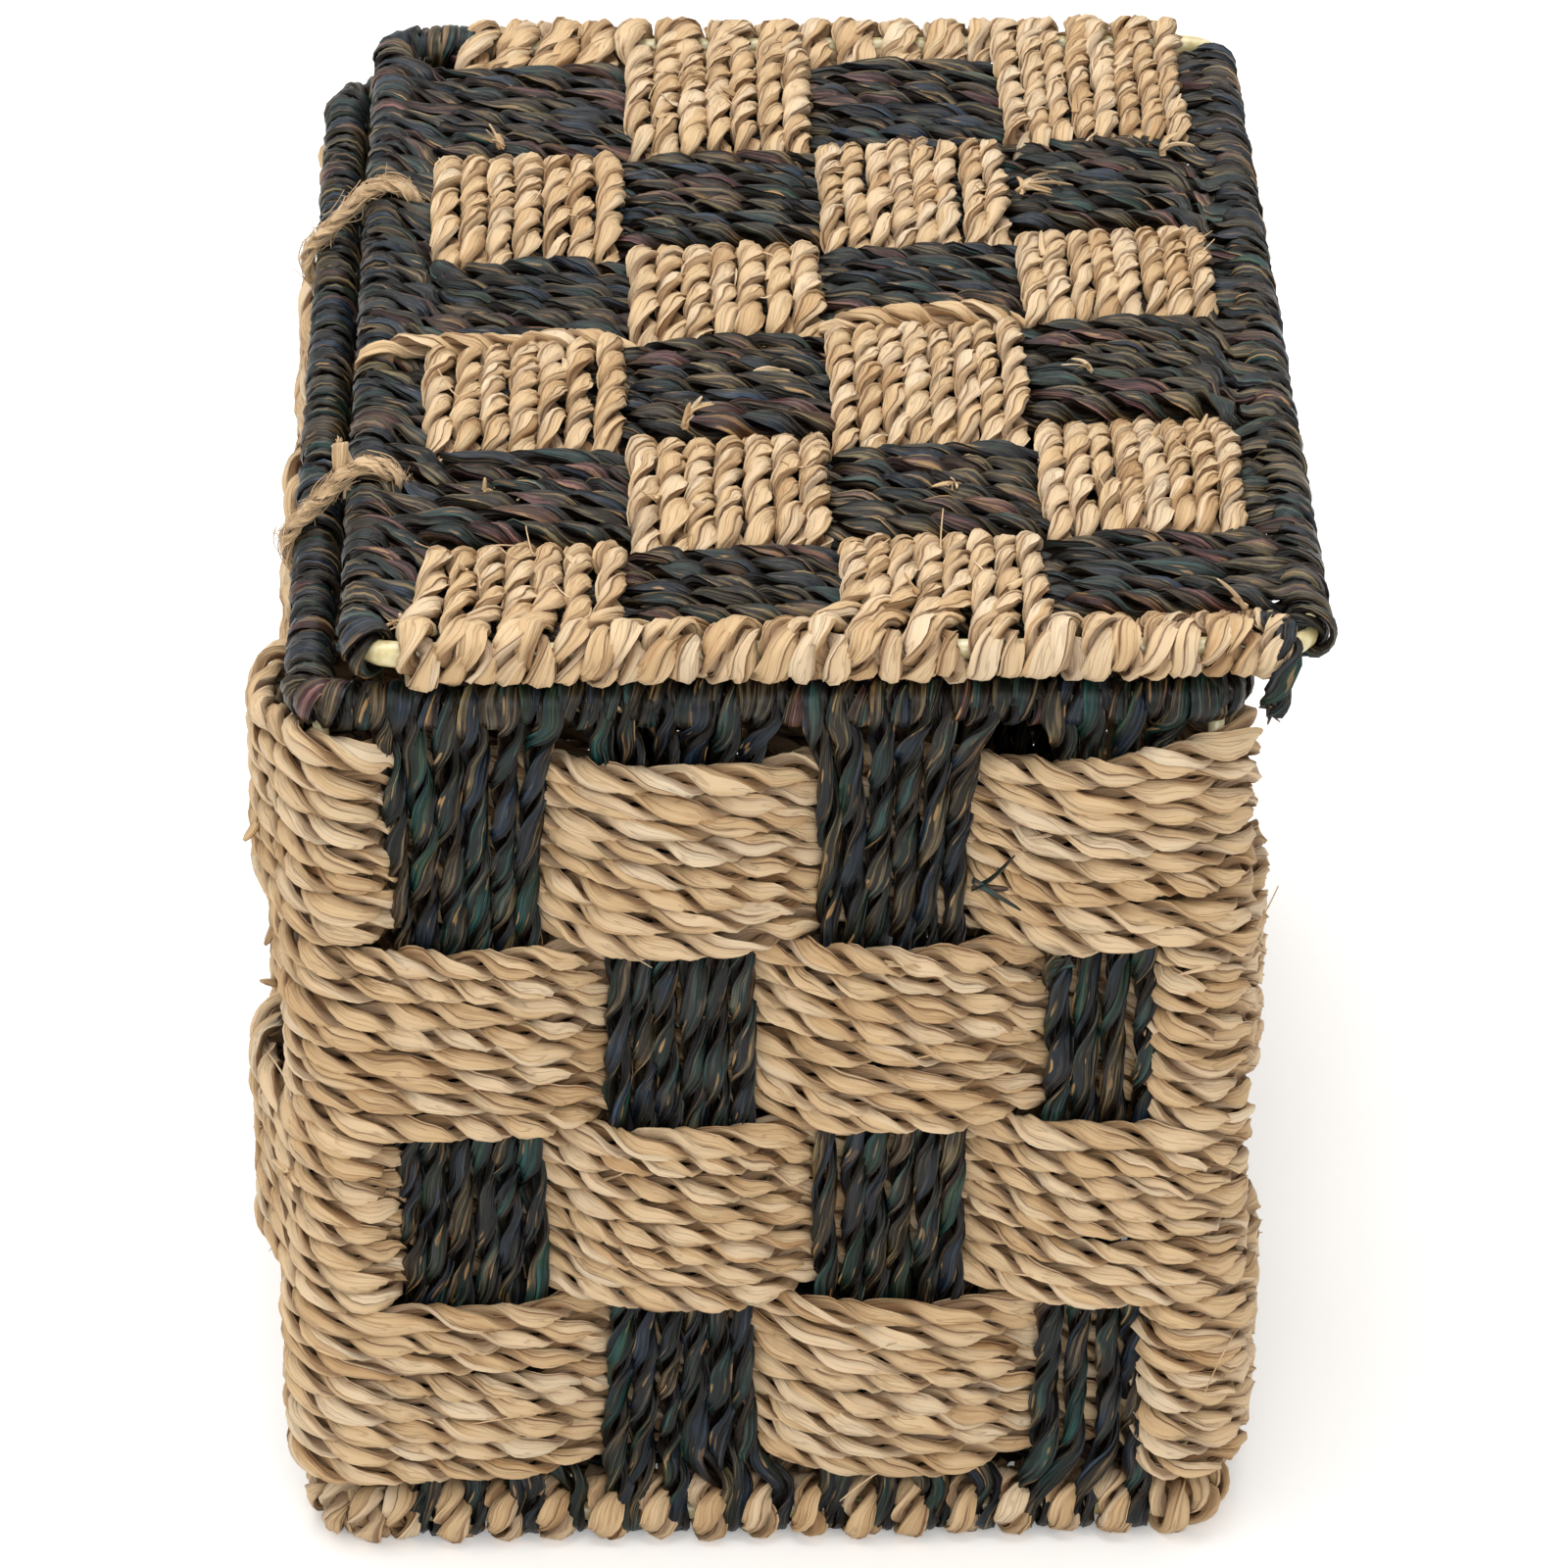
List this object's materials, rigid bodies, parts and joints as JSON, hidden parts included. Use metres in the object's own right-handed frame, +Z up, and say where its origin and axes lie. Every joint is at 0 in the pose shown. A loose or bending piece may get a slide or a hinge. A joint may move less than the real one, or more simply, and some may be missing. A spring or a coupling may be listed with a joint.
{
  "type": "woven lidded box",
  "caption": "Rectangular storage box woven in a two-tone checkerboard of twisted seagrass rope on a wire frame, with a woven lid hinged on twine loops.",
  "frame": {"origin": "bottom centre of the whole box's bounding box, on the surface it stands on", "axes": "+Z up, +Y along the length towards the far end, +X across towards the lid's free edge; the hinge side is at -X"},
  "size_m": [0.2284, 0.312, 0.2409],
  "materials": {
    "natural_seagrass": "dry twisted grass rope, matt with a faint waxy sheen",
    "dyed_seagrass": "grass rope dyed blue-black, uneven, with straw-coloured streaks",
    "jute_twine": "hairy two-ply twine",
    "frame_wire": "cream paint, glossy"
  },
  "bodies": {
    "basket": {"rim_wire": "frame_wire", "base_wire": "frame_wire", "corner_post_1": "frame_wire", "corner_post_2": "frame_wire", "corner_post_3": "frame_wire", "corner_post_4": "frame_wire", "rim_corner_wrap_1": "dyed_seagrass", "rim_corner_wrap_2": "dyed_seagrass", "rim_corner_wrap_3": "dyed_seagrass", "rim_corner_wrap_4": "dyed_seagrass", "front_stakes_1": "dyed_seagrass", "front_stakes_2": "dyed_seagrass", "front_stakes_3": "dyed_seagrass", "front_stakes_4": "dyed_seagrass", "back_stakes_1": "dyed_seagrass", "back_stakes_2": "dyed_seagrass", "back_stakes_3": "dyed_seagrass", "back_stakes_4": "dyed_seagrass", "left_stakes_1": "dyed_seagrass", "left_stakes_2": "dyed_seagrass", "left_stakes_3": "dyed_seagrass", "left_stakes_4": "dyed_seagrass", "left_stakes_5": "dyed_seagrass", "left_stakes_6": "dyed_seagrass", "right_stakes_1": "dyed_seagrass", "right_stakes_2": "dyed_seagrass", "right_stakes_3": "dyed_seagrass", "right_stakes_4": "dyed_seagrass", "right_stakes_5": "dyed_seagrass", "right_stakes_6": "dyed_seagrass", "wall_band_1": "natural_seagrass", "wall_band_2": "natural_seagrass", "wall_band_3": "natural_seagrass", "wall_band_4": "natural_seagrass", "floor_long_1": "natural_seagrass", "floor_long_2": "natural_seagrass", "floor_long_3": "natural_seagrass", "floor_long_4": "natural_seagrass", "floor_cross_1": "dyed_seagrass", "floor_cross_2": "dyed_seagrass", "floor_cross_3": "dyed_seagrass", "floor_cross_4": "dyed_seagrass", "floor_cross_5": "dyed_seagrass", "floor_cross_6": "dyed_seagrass"},
    "ties": {"tie_near": "jute_twine", "tie_far": "jute_twine"},
    "lid": {"lid_wire": "frame_wire", "lid_long_1": "natural_seagrass", "lid_long_2": "natural_seagrass", "lid_long_3": "natural_seagrass", "lid_long_4": "natural_seagrass", "lid_cross_1": "dyed_seagrass", "lid_cross_2": "dyed_seagrass", "lid_cross_3": "dyed_seagrass", "lid_cross_4": "dyed_seagrass", "lid_cross_5": "dyed_seagrass", "lid_cross_6": "dyed_seagrass"}
  },
  "joints": [
    {"name": "tie_swing", "type": "hinge", "parent": "basket", "child": "ties", "pos_m": [-0.10393, 0, 0.21765], "axis": [0, -1, 0], "range_deg": [0, 130]},
    {"name": "lid_swing", "type": "hinge", "parent": "ties", "child": "lid", "pos_m": [-0.09193, 0, 0.23065], "axis": [0, -1, 0], "range_deg": [0, 130]}
  ]
}
